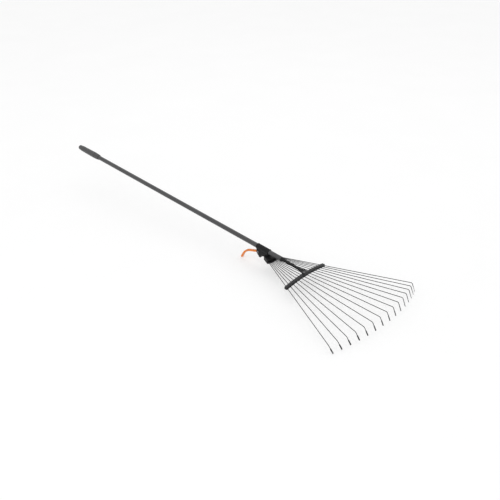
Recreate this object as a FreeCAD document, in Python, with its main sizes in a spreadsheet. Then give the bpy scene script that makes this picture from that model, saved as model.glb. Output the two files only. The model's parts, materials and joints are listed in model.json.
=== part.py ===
"""Adjustable wire leaf rake: tube handle, crossbar, sliding tine holder with a cam lock, 15 tines.

Frame: X runs along the rake towards the tips, Y to the left, Z up. The origin is under the middle
of the rake's length, on the plane that the outer tips and the lever's tip rest on. Millimetres.
"""

import FreeCAD, Part
import math
import os
import Sketcher

V = FreeCAD.Vector

TINES = 15
SIDES = (-1, 1)

DIMENSIONS = [
    # handle tube
    ("handle_length", 1184.0),  # along the tube, from above the hub line to the grip's end
    ("handle_rise", 4.88),  # degrees that the handle climbs towards the grip
    ("tube_height", 23.2),  # tube axis above the fan plane, at the hub line
    ("tube_dia", 18.0),
    ("tube_wall", 1.0),
    # neck between tube and crossbar
    ("neck_setback", 113.0),  # tube's front end behind the crossbar
    ("neck_plug", 26.0),  # length inside the tube
    ("waist_setback", 92.0),
    ("waist_width", 12.5),
    ("waist_height", 8.5),
    ("heel_setback", 27.0),  # where the neck spreads into its tongue
    ("heel_width", 13.5),
    ("heel_height", 5.5),
    ("tongue_length", 20.0),
    ("tongue_width", 24.6),
    ("tongue_thick", 3.0),
    # grip
    ("grip_wall", 4.5),  # over the tube, at the swell
    ("grip_length", 149.0),
    ("grip_end", 22.0),  # solid end beyond the tube
    ("grip_tail_dia", 19.5),
    ("grip_groove", 24.0),  # groove behind the collar, from the grip's mouth
    ("groove_depth", 1.4),
    ("grip_mouth_wall", 2.0),
    ("hang_hole", 7.0),
    # fan
    ("fan_apex", 209.5),  # where the tine lines would meet, behind the crossbar
    ("hub_setback", 183.9),  # hub line behind the crossbar
    ("pivot_setback", 157.5),  # row of tine pivots behind the crossbar
    ("guide_span", 102.9),  # outermost guide from the middle
    ("guide_drop", 8.8),  # arch of the crossbar over that span
    ("tine_reach", 503.5),  # pivot to knee
    ("hook_length", 31.8),
    ("hook_angle", 63.0),  # degrees
    ("hook_lean", 0.506),  # sideways lean of the outermost hook
    ("wire_dia", 2.4),
    ("knee_radius", 7.0),
    ("heel_radius", 3.0),
    ("leg_length", 8.0),
    ("blade_length", 18.0),
    ("blade_width", 4.5),
    ("blade_thick", 1.3),
    # crossbar
    ("bar_depth", 13.0),
    ("bar_half_height", 5.6),
    ("bar_overhang", 5.0),
    ("slot_side_play", 2.45),  # wire's room in its slot, on each side
    ("slot_play", 1.0),  # the same above and below
    ("boss_width", 28.6),
    ("boss_depth", 16.0),
    ("boss_height", 11.0),
    ("bar_bolt_dia", 4.0),
    ("bar_screw_dia", 3.0),
    # slider
    ("running_gap", 0.1),  # sleeve bore around the tube, on the radius
    ("sleeve_wall", 1.9),
    ("sleeve_front", 11.5),  # sleeve's front end ahead of the hub line, along the tube
    ("sleeve_rear", 48.5),
    ("cheek_wall", 2.8),
    ("lever_play", 0.3),  # between the lever and each cheek
    ("holder_back", 5.0),  # rear edge of the tine holder behind the hub line
    ("holder_reach", 61.0),  # front edge of the tine holder ahead of the fan's apex
    ("holder_rim", 3.6),  # holder beyond the outermost tine
    ("deck_top", 7.0),
    ("mouth_play", 0.6),  # above the wires
    ("mouth_floor", -3.4),
    ("plate_bottom", -11.0),
    ("leg_play", 0.3),  # leg hole around the wire, on the radius
    # cam lever and brake
    ("pivot_back", 38.0),  # along the tube, behind the hub line
    ("pivot_drop", 9.5),  # below the tube, square to its axis
    ("pin_dia", 5.0),
    ("cam_radius", 6.2),
    ("cam_offset", 1.0),
    ("cam_gap", 0.3),
    ("lever_slope", 16.7),  # degrees that the arm falls towards the rear
    ("lever_arm", 75.0),  # pivot to the curl's corner
    ("lever_curl", 46.0),  # degrees
    ("lever_curl_radius", 60.0),
    ("lever_width", 9.2),
    ("lever_thick", 7.6),
    ("shoe_length", 14.0),
    ("shoe_inset", 0.1),  # narrower than the cam, on each side
    ("lever_corner", 2.0),
]

# Small sizes that only one piece or one pair of pieces uses.
TONGUE_FRONT = 6.5  # tongue's front end ahead of the crossbar's middle
TONGUE_SEAT = 0.4  # flat seat for the tongue above the crossbar's crest
NECK_HOLD = 0.8  # share of the straight fall that the neck has made at its waist
HEEL_LIFT = 1.6
HOLE_PLAY = 0.1
POCKET_PLAY = 0.4
GRIP_DOME = 7.0
GRIP_LIP = 1.0
GRIP_TAPER = 26.0  # rear part over which the grip narrows to its tail
TAPER_LEFT = 1.2  # radius still to gain where that part ends
GROOVE_HALF = 1.6
GROOVE_BAND = 8.0  # even band ahead of the groove
BAND_DROP = 0.5
COMB_BEVEL = 1.5
COVER_ROUND = 2.5
BOSS_CORNER = 4.0
BOSS_ROUND = 1.5
BAR_DRILLING = 25.0
NUT_FLATS = 7.0
NUT_HEIGHT = 3.2
BOLT_HEAD = 2.4
SCREW_HEAD = 1.8
SCREW_SINK = 0.6  # flat seats for the crossbar's screw heads and nuts, cut up into its underside
NUT_SINK = 0.3
SEAT_PLAY = 0.2
SEAT_DEPTH = 4.0
BAR_SCREW_LENGTH = 9.0
SLOT_TRAVEL = 20.0
SLOT_RUN = 40.0
SLOT_OPEN = 2.0  # slots run out through the top of the comb
HOLDER_REAR_HALF = 12.0
HOLDER_CORNER = 4.0
DECK_ROUND = 2.5
PLATE_ROUND = 3.0
MOUTH_RIM = 2.2
MOUTH_BACK = 4.0
HOLDER_SCREWS = [V(x, side * y, 0) for x, y in ((1.5, 8.0), (14.0, 15.0)) for side in SIDES]
HOLDER_SCREW_LENGTH = 12.0
BRACKET_PROFILE = [
    (-48, 18),
    (-48, 4),
    (-42, -3),
    (-34, -12),
    (-28, -13),
    (-25.5, -2),
    (-4.5, -2),
    (-4.5, 4),
    (10, 4),
    (10, 15),
]
LEVER_WAY = (60.0, 40.0)  # length and height of the space for the cam and lever
CAM_SPACE = 8.0  # clear space ahead of and above the pin
SHOE_PLAY = 0.3
SHOE_WRAP = 3.0  # height of the saddle's sides up the tube
WINDOW_DROP = 2.0  # middle of the shoe's window below the tube
SHOE_GAP = 0.1
PIN_END = 1.6
PIN_HEAD = 1.8
CLIP_THICK = 1.0

TUBE_RADIUS = "size.tube_dia / 2"
PIVOT_BELOW = "size.tube_dia / 2 + size.pivot_drop"
LEVER_SLOT = "size.lever_width + 2 * size.lever_play"
SHOE_WIDTH = "size.lever_width - 2 * size.shoe_inset"
CHEEK_WIDTH = f"{LEVER_SLOT} + 2 * size.cheek_wall"
HALF_SLOT = "(size.wire_dia / 2 + size.slot_play)"

doc = FreeCAD.newDocument("leaf_rake")
sheet = doc.addObject("Spreadsheet::Sheet", "size")
for row, (alias, amount) in enumerate(DIMENSIONS, start=1):
    sheet.set(f"A{row}", alias)
    sheet.set(f"B{row}", str(amount))
    sheet.setAlias(f"B{row}", alias)
doc.recompute()

PIECES = []


def size(alias):
    """Value of one cell."""
    return float(getattr(sheet, alias))


def number(text):
    """Value of an expression over the sheet; a plain number is passed through."""
    if isinstance(text, str):
        return float(sheet.evalExpression(text))
    return float(text)


def bind(thing, prop, text):
    """Bind a property to an expression, or set it when the size is a plain number."""
    if isinstance(text, str):
        thing.setExpression(prop, text)
    else:
        setattr(thing, prop, text)


def keep(thing, label, placement=None):
    """Name a finished sub-part and put it in its place."""
    thing.Label = label
    if placement is not None:
        thing.Placement = placement
    PIECES.append(thing)
    return thing


# ---------------------------------------------------------------- sketch and body helpers


def new_body(name):
    return doc.addObject("PartDesign::Body", name)


def sketch_on(body, role, name, offset=None):
    """A sketch on one of the body's own origin planes, moved and turned by offset."""
    plane = next(f for f in body.Origin.OriginFeatures if f.Role == role)
    sketch = body.newObject("Sketcher::SketchObject", name)
    sketch.AttachmentSupport = [(plane, "")]
    sketch.MapMode = "FlatFace"
    if offset is not None:
        sketch.AttachmentOffset = offset
    return sketch


def bind_constraint(sketch, kind, *items):
    """Add a constraint whose last item is a size: a number, or an expression to bind it to."""
    *where, text = items
    index = sketch.addConstraint(Sketcher.Constraint(kind, *where, number(text)))
    if isinstance(text, str):
        sketch.setExpression(f"Constraints[{index}]", text)


def fix_point(sketch, edge, end, x, y):
    bind_constraint(sketch, "DistanceX", edge, end, x)
    bind_constraint(sketch, "DistanceY", edge, end, y)


def draw_circle(sketch, x, y, radius):
    circle = Part.Circle(V(number(x), number(y), 0), V(0, 0, 1), number(radius))
    edge = sketch.addGeometry(circle)
    fix_point(sketch, edge, 3, x, y)
    bind_constraint(sketch, "Radius", edge, radius)


def draw_polygon(sketch, points):
    """Closed outline through the points, each coordinate a number or an expression."""
    count = len(points)
    first = sketch.GeometryCount
    corners = [V(number(x), number(y), 0) for x, y in points]
    for i in range(count):
        sketch.addGeometry(Part.LineSegment(corners[i], corners[(i + 1) % count]))
    for i in range(count):
        follower = first + (i + 1) % count
        sketch.addConstraint(Sketcher.Constraint("Coincident", first + i, 2, follower, 1))
    for i, (x, y) in enumerate(points):
        fix_point(sketch, first + i, 1, x, y)


def meeting_ends(sketch, one, other):
    """Which end of each edge lies at the point that two edges share; arcs run anticlockwise."""
    for a in (1, 2):
        for b in (1, 2):
            if (sketch.getPoint(one, a) - sketch.getPoint(other, b)).Length < 1e-6:
                return a, b
    raise ValueError(f"edges {one} and {other} of {sketch.Name} do not meet")


def draw_chain(sketch, edges):
    """Edges drawn end to end, each joined to the next."""
    first = sketch.GeometryCount
    for edge in edges:
        sketch.addGeometry(edge)
    for i in range(first, first + len(edges) - 1):
        end, start = meeting_ends(sketch, i, i + 1)
        sketch.addConstraint(Sketcher.Constraint("Coincident", i, end, i + 1, start))


def section_edges(half_width, half_height):
    """Four edges round a section of the neck: a circle, or flat above and below when wider."""
    if abs(half_width - half_height) < 1e-6:
        flat, low = [half_width * math.sqrt(0.5)] * 2
    else:
        flat, low = half_width - half_height, half_height
    corners = [V(flat, low, 0), V(-flat, low, 0), V(-flat, -low, 0), V(flat, -low, 0)]
    crests = [V(0, half_height, 0), V(-half_width, 0, 0)]
    crests += [crest * -1 for crest in crests]
    edges = []
    for i in range(4):
        start, end = corners[i], corners[(i + 1) % 4]
        if abs((start + end).Length / 2 - crests[i].Length) < 1e-6:
            edges.append(Part.LineSegment(start, end))
        else:
            edges.append(Part.Arc(start, crests[i], end))
    return edges


def rounded_box_edges(width, height, corner):
    """Eight edges of a rectangle with round corners, about the middle."""
    side, top = width / 2, height / 2
    diagonal = corner * (1 - math.sqrt(0.5))
    edges = []
    for x, y in ((1, 1), (-1, 1), (-1, -1), (1, -1)):
        on_side = V(x * side, y * (top - corner), 0)
        on_top = V(x * (side - corner), y * top, 0)
        bulge = V(x * (side - diagonal), y * (top - diagonal), 0)
        ends = (on_side, on_top) if x == y else (on_top, on_side)
        if edges:
            edges.append(Part.LineSegment(last_end, ends[0]))
        edges.append(Part.Arc(ends[0], bulge, ends[1]))
        last_end = ends[1]
    edges.append(Part.LineSegment(last_end, edges[0].StartPoint))
    return edges


def pad(body, name, sketch, length, side="Symmetric", reverse=False):
    feature = body.newObject("PartDesign::Pad", name)
    feature.Profile = sketch
    feature.SideType = side
    feature.Reversed = reverse
    bind(feature, "Length", length)
    return feature


def pocket(body, name, sketch, length=None, side="Symmetric", reverse=False):
    """Cut to a length, or through everything when no length is given."""
    feature = body.newObject("PartDesign::Pocket", name)
    feature.Profile = sketch
    feature.SideType = side
    feature.Reversed = reverse
    if length is None:
        feature.Type = "ThroughAll"
    else:
        bind(feature, "Length", length)
    return feature


def chosen_edges(base, test):
    """Names of the edges of a feature that pass a test."""
    doc.recompute()
    return [f"Edge{i}" for i, edge in enumerate(base.Shape.Edges, start=1) if test(edge)]


def round_edges(body, name, base, radius, test):
    feature = body.newObject("PartDesign::Fillet", name)
    feature.Base = (base, chosen_edges(base, test))
    bind(feature, "Radius", radius)
    return feature


def bevel_edges(body, name, base, width, test):
    feature = body.newObject("PartDesign::Chamfer", name)
    feature.Base = (base, chosen_edges(base, test))
    bind(feature, "Size", width)
    return feature


def upright(edge):
    """True for a straight edge along Z."""
    if len(edge.Vertexes) != 2:
        return False
    step = edge.Vertexes[1].Point - edge.Vertexes[0].Point
    return step.Length > 1 and abs(step.z) > 0.999 * step.Length


# ---------------------------------------------------------------- primitive and boolean helpers


def cylinder(name, radius, height, start, direction):
    """A Part cylinder from start along direction, its sizes bound to the sheet."""
    thing = doc.addObject("Part::Cylinder", name)
    bind(thing, "Radius", radius)
    bind(thing, "Height", height)
    thing.Placement = FreeCAD.Placement(start, FreeCAD.Rotation(V(0, 0, 1), direction))
    return thing


def box(name, length, width, height, centre, turn=None):
    """A Part box about a centre point, its sizes bound to the sheet, turned in place."""
    thing = doc.addObject("Part::Box", name)
    bind(thing, "Length", length)
    bind(thing, "Width", width)
    bind(thing, "Height", height)
    turn = turn or FreeCAD.Rotation()
    half = V(number(length), number(width), number(height)) * 0.5
    thing.Placement = FreeCAD.Placement(centre - turn.multVec(half), turn)
    return thing


def hexagon(name, across_flats, height, start):
    """A nut blank: a six-sided Part prism standing on start."""
    thing = doc.addObject("Part::Prism", name)
    thing.Polygon = 6
    thing.Circumradius = across_flats / math.sqrt(3)
    thing.Height = height
    thing.Placement = FreeCAD.Placement(start, FreeCAD.Rotation())
    return thing


def fuse(name, things):
    joined = doc.addObject("Part::MultiFuse", name)
    joined.Shapes = things
    return joined


def cut(name, base, tool):
    result = doc.addObject("Part::Cut", name)
    result.Base = base
    result.Tool = tool
    return result


def group(name, things):
    """Separate solids kept side by side in one sub-part."""
    together = doc.addObject("Part::Compound", name)
    together.Links = things
    return together


# ---------------------------------------------------------------- where things lie


def tube_direction():
    """Unit vector along the tube, towards the tips."""
    rise = math.radians(size("handle_rise"))
    return V(math.cos(rise), 0, -math.sin(rise))


def from_tube(back, below):
    """Point beside the tube in the hub frame: back along the tube, below square to its axis."""
    ahead = tube_direction()
    upward = V(-ahead.z, 0, ahead.x)
    return V(0, 0, size("tube_height")) - ahead * back - upward * below


def arch_radius():
    return (size("guide_span") ** 2 + size("guide_drop") ** 2) / (2 * size("guide_drop"))


def arch_point(across):
    """Point on the crossbar's middle arc, in the bar frame."""
    radius = arch_radius()
    return V(0, across, math.sqrt(radius**2 - across**2) - radius)


def fan_slope():
    """Sideways run of the outermost tine line for each unit ahead."""
    return size("guide_span") / size("fan_apex")


class TineLine:
    """Corners of one tine in the bar frame; place runs from -1 (right) to 1 (left)."""

    def __init__(self, place):
        ahead_of_apex = size("fan_apex") - size("pivot_setback")
        self.pivot = V(-size("pivot_setback"), place * fan_slope() * ahead_of_apex, 0)
        self.guide = arch_point(place * size("guide_span"))
        self.way = (self.guide - self.pivot).normalize()
        self.knee = self.pivot + self.way * size("tine_reach")
        lean = V(0, -place * size("hook_lean"), -1)
        down = (lean - self.way * lean.dot(self.way)).normalize()
        angle = math.radians(size("hook_angle"))
        self.hook_way = self.way * math.cos(angle) + down * math.sin(angle)
        self.tip = self.knee + self.hook_way * size("hook_length")
        self.across = self.way.cross(self.hook_way).normalize()
        self.face = self.across.cross(self.hook_way).normalize()

    def lowest(self):
        """Level of the blade's lowest corner."""
        width, thick = size("blade_width") / 2, size("blade_thick") / 2
        return self.tip.z - abs(self.across.z) * width - abs(self.face.z) * thick


PLACES = [(i - TINES // 2) / (TINES // 2) for i in range(TINES)]
OUTER_TINE = TineLine(1.0)
MIDDLE_TINE = TineLine(0.0)
FLOOR = OUTER_TINE.lowest()  # level that the rake rests on, in the bar frame

GRIP_TIP = from_tube(size("handle_length"), 0) - V(size("hub_setback"), 0, 0)
BAR = V(-(GRIP_TIP.x + MIDDLE_TINE.tip.x) / 2, 0, -FLOOR)
HUB = BAR - V(size("hub_setback"), 0, 0)
BAR_PLACE = FreeCAD.Placement(BAR, FreeCAD.Rotation())
HUB_PLACE = FreeCAD.Placement(HUB, FreeCAD.Rotation())

ARCH_RADIUS = "(size.guide_span^2 + size.guide_drop^2) / (2 * size.guide_drop)"
GUIDE_PITCH = size("guide_span") / (TINES // 2)
BOLT_SPOTS = [V(0, side * GUIDE_PITCH / 2, 0) for side in SIDES]
SCREW_SPOTS = [arch_point(side * step * GUIDE_PITCH) for side in SIDES for step in (3.5, 6.5)]


# ---------------------------------------------------------------- handle


def tongue_height():
    """Middle of the tongue above the fan plane; it lies on top of the crossbar."""
    return size("bar_half_height") + TONGUE_SEAT + size("tongue_thick") / 2


def section_across(body, name, centre, slope):
    """A sketch square to a line that falls at the slope towards the tips, about its centre."""
    offset = FreeCAD.Placement(V(centre.y, centre.z, centre.x), FreeCAD.Rotation(V(1, 0, 0), slope))
    return sketch_on(body, "YZ_Plane", name, offset)


def add_swept(body, name, profile, path, edges):
    feature = body.newObject("PartDesign::AdditivePipe", name)
    feature.Profile = profile
    feature.Spine = (path, [f"Edge{i + 1}" for i in range(edges)])
    return feature


def make_handle_tube():
    """Straight round tube from the grip to the neck."""
    body = new_body("handle_body")
    rise = size("handle_rise")
    rear = GRIP_TIP + tube_direction() * size("grip_end")
    run = (neck_start() - rear).Length
    outer = section_across(body, "tube_outside", rear, rise)
    draw_circle(outer, 0, 0, "size.tube_dia / 2")
    pad(body, "tube_round", outer, run, "One side")
    bore = section_across(body, "tube_bore", rear, rise)
    draw_circle(bore, 0, 0, "size.tube_dia / 2 - size.tube_wall")
    pocket(body, "tube_hollow", bore, run, "One side", reverse=True)
    keep(body, "handle_tube", BAR_PLACE)


def neck_start():
    """Middle of the tube's front end, in the bar frame."""
    ahead = tube_direction()
    above_hub = V(-size("hub_setback"), 0, size("tube_height"))
    return above_hub + ahead * ((-size("neck_setback") - above_hub.x) / ahead.x)


def make_neck():
    """Plug in the tube, a slim neck down to the crossbar, and a level tongue with two holes."""
    body = new_body("neck_body")
    rise, ahead = size("handle_rise"), tube_direction()
    start = neck_start()
    plug_rear = start - ahead * size("neck_plug")
    plug = section_across(body, "plug_section", plug_rear, rise)
    draw_circle(plug, 0, 0, "size.tube_dia / 2 - size.tube_wall")
    pad(body, "neck_plug", plug, "size.neck_plug", "One side")

    tongue_rear = V(TONGUE_FRONT - size("tongue_length"), 0, tongue_height())
    fall = (start.z - tongue_rear.z) / (tongue_rear.x - start.x)
    waist = V(-size("waist_setback"), 0, start.z)
    waist.z -= fall * (waist.x - start.x) * NECK_HOLD
    heel = V(-size("heel_setback"), 0, tongue_rear.z + HEEL_LIFT)
    sections = []
    for name, centre, slope, width, height in (
        ("shoulder", start, rise, "tube_dia", "tube_dia"),
        ("waist", waist, rise, "waist_width", "waist_height"),
        ("heel", heel, rise, "heel_width", "heel_height"),
        ("tongue", tongue_rear, 0, "tongue_width", "tongue_thick"),
    ):
        section = section_across(body, f"neck_{name}", centre, slope)
        draw_chain(section, section_edges(size(width) / 2, size(height) / 2))
        sections.append(section)
    for index, (near, far) in enumerate(zip(sections, sections[1:]), start=1):
        loft = body.newObject("PartDesign::AdditiveLoft", f"neck_loft_{index}")
        loft.Profile = near
        loft.Sections = [far]
    pad(body, "tongue", sections[-1], "size.tongue_length", "One side")
    holes = sketch_on(body, "XY_Plane", "tongue_holes")
    for spot in BOLT_SPOTS:
        draw_circle(holes, spot.x, spot.y, f"size.bar_bolt_dia / 2 + {HOLE_PLAY}")
    pocket(body, "tongue_drilling", holes)
    keep(body, "neck", BAR_PLACE)


def make_grip():
    """Moulded sleeve on the tube's end: tapered tail with a hole, swell, groove and collar."""
    body = new_body("grip_body")
    profile = sketch_on(body, "XZ_Plane", "grip_profile")
    outside, tail = f"{TUBE_RADIUS} + size.grip_wall", "size.grip_tail_dia / 2"
    mouth = f"{TUBE_RADIUS} + size.grip_mouth_wall"
    groove = "size.grip_length - size.grip_groove"
    band = f"{outside} - {BAND_DROP}"
    draw_polygon(
        profile,
        [
            (0, 0),
            (0, tail),
            (GRIP_TAPER, f"{outside} - {TAPER_LEFT}"),
            (f"{groove} - {GROOVE_BAND}", outside),
            (f"{groove} - {GROOVE_HALF}", band),
            (groove, f"{band} - size.groove_depth"),
            (f"{groove} + {GROOVE_HALF}", band),
            (f"{groove} + {GROOVE_BAND}", band),
            ("size.grip_length", mouth),
            ("size.grip_length", TUBE_RADIUS),
            ("size.grip_end", TUBE_RADIUS),
            ("size.grip_end", 0),
        ],
    )
    turned = body.newObject("PartDesign::Revolution", "grip_turned")
    turned.Profile = profile
    turned.ReferenceAxis = (profile, ["H_Axis"])
    turned.Angle = 360

    def rim_at(distance, radius):
        """Test for the round edge of this radius, at this distance from the closed end."""

        def test(edge):
            if not isinstance(edge.Curve, Part.Circle):
                return False
            step = abs(edge.Curve.Center.x - distance)
            return step < 0.01 and abs(edge.Curve.Radius - radius) < 0.01

        return test

    closed_rim = rim_at(0, number(tail))
    mouth_rim = rim_at(size("grip_length"), number(mouth))
    dome = round_edges(body, "grip_dome", turned, GRIP_DOME, closed_rim)
    round_edges(body, "grip_lip", dome, GRIP_LIP, mouth_rim)
    hole = sketch_on(body, "XY_Plane", "hang_hole")
    draw_circle(hole, "size.grip_end / 2", 0, "size.hang_hole / 2")
    pocket(body, "hang_drilling", hole)
    turn = FreeCAD.Rotation(V(0, 1, 0), size("handle_rise"))
    keep(body, "grip", FreeCAD.Placement(BAR + GRIP_TIP, turn))


# ---------------------------------------------------------------- crossbar


def draw_arch_band(sketch, low, high):
    """Band between two arcs about the arch's centre, low and high offsets from its middle arc."""
    reach = "size.guide_span + size.bar_overhang"
    half = number(reach)
    centre = V(0, -arch_radius(), 0)
    ends = []
    for offset, way in ((low, 1), (high, -1)):
        radius = number(f"{ARCH_RADIUS} + ({offset})")
        tilt = math.asin(half / radius)
        circle = Part.Circle(centre, V(0, 0, 1), radius)
        edge = sketch.addGeometry(Part.ArcOfCircle(circle, math.pi / 2 - tilt, math.pi / 2 + tilt))
        fix_point(sketch, edge, 3, 0, f"-{ARCH_RADIUS}")
        bind_constraint(sketch, "Radius", edge, f"{ARCH_RADIUS} + ({offset})")
        bind_constraint(sketch, "DistanceX", edge, 1, reach)
        bind_constraint(sketch, "DistanceX", edge, 2, f"-({reach})")
        height = math.sqrt(radius**2 - half**2) - arch_radius()
        ends.append((V(half, height, 0), V(-half, height, 0)))
    for end in (0, 1):
        line = sketch.addGeometry(Part.LineSegment(ends[0][end], ends[1][end]))
        sketch.addConstraint(Sketcher.Constraint("Coincident", line, 1, 0, end + 1))
        sketch.addConstraint(Sketcher.Constraint("Coincident", line, 2, 1, end + 1))


def long_edge_at(offset):
    """Test for the crossbar's long edges on the arc at this offset from the middle."""
    radius = arch_radius() + offset

    def test(edge):
        return isinstance(edge.Curve, Part.Circle) and abs(edge.Curve.Radius - radius) < 0.01

    return test


def slot_tools():
    """One block for each tine's slot, laid along the tine halfway through the slider's travel."""
    blocks = []
    for index, place in enumerate(PLACES, start=1):
        line = TineLine(place)
        middle = line.guide - (line.pivot - tube_direction() * SLOT_TRAVEL)
        turn = FreeCAD.Rotation(middle, V(-middle.y, middle.x, 0), V(0, 0, 1), "XYZ")
        name = f"slot_block_{index:02d}"
        centre = line.guide + V(0, 0, SLOT_OPEN / 2)
        height = f"2 * {HALF_SLOT} + {SLOT_OPEN}"
        width = "size.wire_dia + 2 * size.slot_side_play"
        blocks.append(box(name, SLOT_RUN, width, height, centre, turn))
    return blocks


def make_crossbar():
    """Arched bar in two halves: a comb with a slot for each tine, and a cover with a boss."""
    comb = new_body("comb_body")
    band = sketch_on(comb, "YZ_Plane", "comb_band")
    draw_arch_band(band, "-size.bar_half_height", HALF_SLOT)
    comb_pad = pad(comb, "comb_pad", band, "size.bar_depth")
    bevel_edges(comb, "comb_bevel", comb_pad, COMB_BEVEL, long_edge_at(-size("bar_half_height")))

    cover = new_body("cover_body")
    band = sketch_on(cover, "YZ_Plane", "cover_band")
    draw_arch_band(band, HALF_SLOT, "size.bar_half_height")
    cover_pad = pad(cover, "cover_pad", band, "size.bar_depth")
    rounded = round_edges(
        cover, "cover_round", cover_pad, COVER_ROUND, long_edge_at(size("bar_half_height"))
    )
    raised = FreeCAD.Placement(V(0, 0, number(HALF_SLOT)), FreeCAD.Rotation())
    plan = sketch_on(cover, "XY_Plane", "boss_plan", raised)
    draw_chain(plan, rounded_box_edges(size("boss_depth"), size("boss_width"), BOSS_CORNER))
    boss = pad(cover, "boss", plan, f"size.boss_height - {HALF_SLOT}", "One side")

    def boss_rim(edge):
        return all(abs(v.Point.z - size("boss_height")) < 0.01 for v in edge.Vertexes)

    round_edges(cover, "boss_round", boss, BOSS_ROUND, boss_rim)

    down, up = V(0, 0, -1), V(0, 0, 1)
    low = -size("bar_half_height") - 2
    comb_tools = slot_tools()
    cover_tools = [
        box(
            "tongue_pocket",
            "size.tongue_length",
            f"size.tongue_width + {POCKET_PLAY}",
            "size.tongue_thick",
            V(TONGUE_FRONT - size("tongue_length") / 2, 0, tongue_height()),
        )
    ]
    bolt_hole = f"size.bar_bolt_dia / 2 + {HOLE_PLAY}"
    nut_corner = NUT_FLATS / math.sqrt(3) + SEAT_PLAY
    underside = -size("bar_half_height")
    for index, spot in enumerate(BOLT_SPOTS, start=1):
        for half, tools in (("comb", comb_tools), ("cover", cover_tools)):
            start = V(spot.x, spot.y, low)
            tools.append(cylinder(f"{half}_bolt_hole_{index}", bolt_hole, BAR_DRILLING, start, up))
        seat = V(spot.x, spot.y, underside + NUT_SINK)
        comb_tools.append(cylinder(f"nut_seat_{index}", nut_corner, SEAT_DEPTH, seat, down))
    for index, spot in enumerate(SCREW_SPOTS, start=1):
        seat = spot + V(0, 0, underside + SCREW_SINK)
        head_room = f"size.bar_screw_dia + {SEAT_PLAY}"
        comb_tools.append(cylinder(f"bar_screw_seat_{index}", head_room, SEAT_DEPTH, seat, down))
        start = spot + down * (size("bar_half_height") + 1)
        for half, tools in (("comb", comb_tools), ("cover", cover_tools)):
            length = "size.bar_half_height * 2 - 0.5"
            tools.append(
                cylinder(f"{half}_screw_hole_{index}", "size.bar_screw_dia / 2", length, start, up)
            )
    keep(cut("comb_cut", comb, fuse("comb_tools", comb_tools)), "crossbar_comb", BAR_PLACE)
    keep(cut("cover_cut", cover, fuse("cover_tools", cover_tools)), "crossbar_cover", BAR_PLACE)


def make_crossbar_fasteners():
    """Two bolts and nuts through the tongue, and four screws up through the comb."""
    up = V(0, 0, 1)
    bolts, nuts = [], []
    base = -size("bar_half_height")
    for index, spot in enumerate(BOLT_SPOTS, start=1):
        foot = V(spot.x, spot.y, base + NUT_SINK - NUT_HEIGHT - 1)
        length = f"size.boss_height + size.bar_half_height + {NUT_HEIGHT + 1 - NUT_SINK}"
        shank = cylinder(f"bolt_shank_{index}", "size.bar_bolt_dia / 2", length, foot, up)
        top = V(spot.x, spot.y, size("boss_height"))
        head = cylinder(f"bolt_head_{index}", "size.bar_bolt_dia", BOLT_HEAD, top, up)
        bolts.append(fuse(f"bolt_{index}", [shank, head]))
        blank = hexagon(f"nut_blank_{index}", NUT_FLATS, NUT_HEIGHT, foot + up)
        hole = cylinder(f"nut_hole_{index}", "size.bar_bolt_dia / 2", 2 * NUT_HEIGHT, foot, up)
        nuts.append(cut(f"nut_{index}", blank, hole))
    keep(group("bolt_pair", bolts), "neck_bolts", BAR_PLACE)
    keep(group("nut_pair", nuts), "neck_nuts", BAR_PLACE)

    screws = []
    for index, spot in enumerate(SCREW_SPOTS, start=1):
        under = spot + V(0, 0, base + SCREW_SINK)
        shank = cylinder(
            f"bar_screw_shank_{index}", "size.bar_screw_dia / 2", BAR_SCREW_LENGTH, under, up
        )
        head = cylinder(
            f"bar_screw_head_{index}", "size.bar_screw_dia", SCREW_HEAD, under, V(0, 0, -1)
        )
        screws.append(fuse(f"bar_screw_{index}", [shank, head]))
    keep(group("bar_screw_set", screws), "bar_screws", BAR_PLACE)


# ---------------------------------------------------------------- slider


def holder_plan(reach, rim, rear_x, rear_half):
    """Fan-shaped plan in the hub frame: straight rear and sides, and a front arc about the apex."""
    apex = -(size("fan_apex") - size("hub_setback"))
    slant = math.atan(fan_slope())
    corner = slant + math.asin(rim / reach)
    front_left = V(apex + reach * math.cos(corner), reach * math.sin(corner), 0)
    front_right = V(front_left.x, -front_left.y, 0)
    side_start = max(rear_half, fan_slope() * (rear_x - apex) + rim / math.cos(slant))
    rear_left = V(rear_x, side_start, 0)
    rear_right = V(rear_x, -side_start, 0)
    return [
        Part.LineSegment(rear_left, rear_right),
        Part.LineSegment(rear_right, front_right),
        Part.Arc(front_right, V(apex + reach, 0, 0), front_left),
        Part.LineSegment(front_left, rear_left),
    ]


def level_sketch(body, name, height):
    return sketch_on(body, "XY_Plane", name, FreeCAD.Placement(V(0, 0, height), FreeCAD.Rotation()))


def holder_outline(sketch):
    edges = holder_plan(
        size("holder_reach"), size("holder_rim"), -size("holder_back"), HOLDER_REAR_HALF
    )
    draw_chain(sketch, edges)


def level_rim(height):
    """Test for edges that lie wholly at one height."""

    def test(edge):
        return all(abs(v.Point.z - height) < 0.01 for v in edge.Vertexes)

    return test


def make_deck():
    """Upper half of the tine holder, hollowed from below where the tines swing."""
    deck = new_body("deck_body")
    plan = level_sketch(deck, "deck_plan", size("mouth_floor"))
    holder_outline(plan)
    block = pad(deck, "deck_pad", plan, "size.deck_top - size.mouth_floor", "One side")
    corners = round_edges(deck, "deck_corners", block, HOLDER_CORNER, upright)
    round_edges(deck, "deck_round", corners, DECK_ROUND, level_rim(size("deck_top")))
    mouth_top = "size.wire_dia / 2 + size.mouth_play"
    mouth = level_sketch(deck, "mouth_plan", number(mouth_top))
    row = size("hub_setback") - size("pivot_setback")
    draw_chain(mouth, holder_plan(size("holder_reach") + 9, MOUTH_RIM, row - MOUTH_BACK, 0))
    pocket(deck, "mouth", mouth, f"{mouth_top} - size.mouth_floor + 1", "One side")
    return deck


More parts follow.
